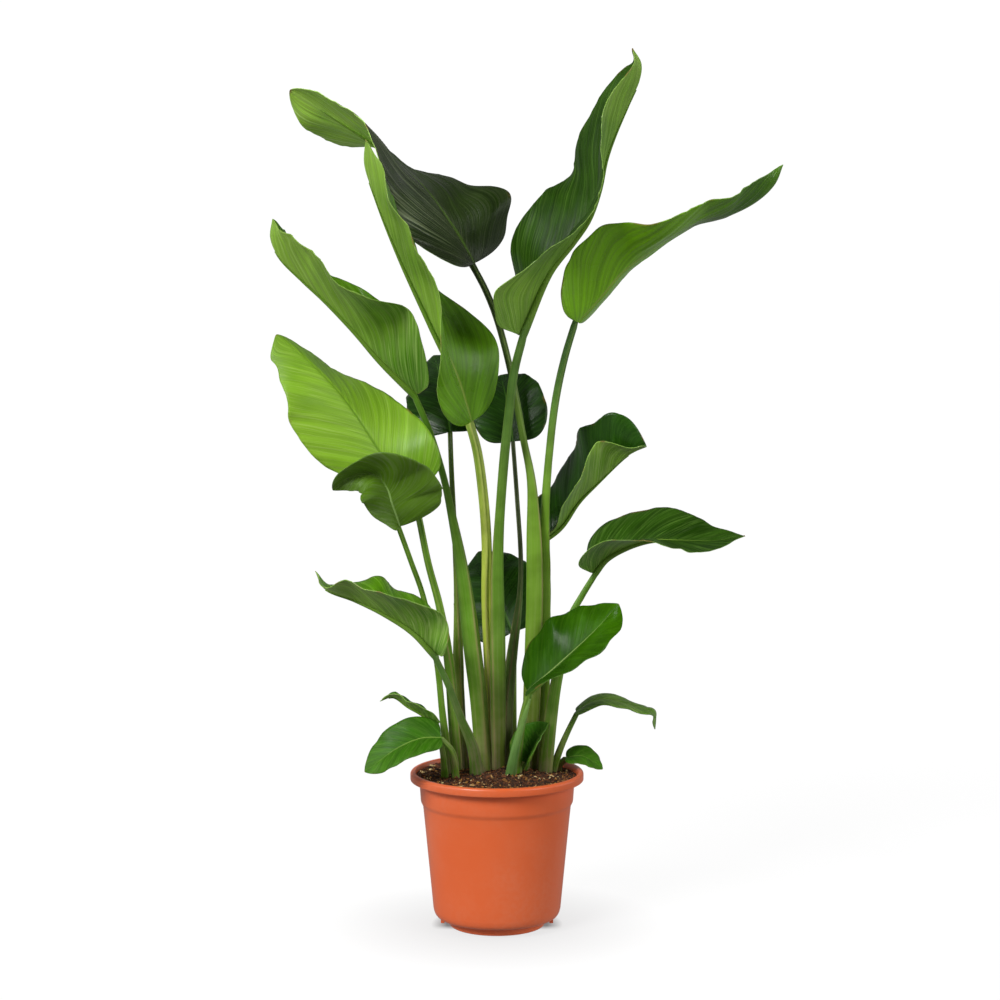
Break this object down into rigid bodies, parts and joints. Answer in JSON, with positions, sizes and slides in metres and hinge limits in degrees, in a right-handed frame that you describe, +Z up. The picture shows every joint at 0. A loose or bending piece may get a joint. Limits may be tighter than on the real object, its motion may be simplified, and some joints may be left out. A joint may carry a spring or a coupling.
{
  "type": "potted bird of paradise plant",
  "caption": "Potted bird of paradise plant: paddle-shaped leaves on long stalks, rooted in bark soil in a round plastic nursery pot.",
  "frame": {"origin": "middle of the pot's flat foot, on the surface that the pot stands on", "axes": "+Z up, -Y the plant's front as pictured, +X the picture's right"},
  "size_m": [0.6954, 0.4072, 1.2043],
  "materials": {
    "leaf_dark": "smooth satin, dark green",
    "leaf_green": "smooth satin, mid green",
    "leaf_bright": "smooth satin, yellow-green",
    "stalk": "smooth satin, pale green",
    "new_leaf": "smooth satin, light green",
    "pot": "satin terracotta-coloured plastic",
    "soil": "rough dark brown bark and peat"
  },
  "bodies": {
    "root": {"leaf_01_blade": "leaf_dark", "leaf_01_stalk": "stalk", "leaf_02_blade": "leaf_bright", "leaf_02_stalk": "stalk", "leaf_03_blade": "leaf_dark", "leaf_03_stalk": "stalk", "leaf_04_blade": "leaf_green", "leaf_04_stalk": "stalk", "leaf_05_blade": "leaf_bright", "leaf_05_stalk": "stalk", "leaf_06_blade": "leaf_bright", "leaf_06_stalk": "stalk", "leaf_07_blade": "leaf_bright", "leaf_07_stalk": "stalk", "leaf_08_blade": "leaf_dark", "leaf_08_stalk": "stalk", "leaf_09_blade": "leaf_dark", "leaf_09_stalk": "stalk", "leaf_10_blade": "leaf_green", "leaf_10_stalk": "stalk", "leaf_11_blade": "leaf_dark", "leaf_11_stalk": "stalk", "leaf_12_blade": "leaf_green", "leaf_12_stalk": "stalk", "leaf_13_blade": "leaf_dark", "leaf_13_stalk": "stalk", "leaf_14_blade": "leaf_dark", "leaf_14_stalk": "stalk", "leaf_15_blade": "leaf_green", "leaf_15_stalk": "stalk", "leaf_16_blade": "leaf_green", "leaf_16_stalk": "stalk", "leaf_17_blade": "leaf_green", "leaf_17_stalk": "stalk", "leaf_18_blade": "leaf_green", "leaf_18_stalk": "stalk", "leaf_19_blade": "leaf_green", "leaf_19_stalk": "stalk", "new_leaf": "new_leaf", "pot": "pot", "soil": "soil"}
  },
  "joints": []
}
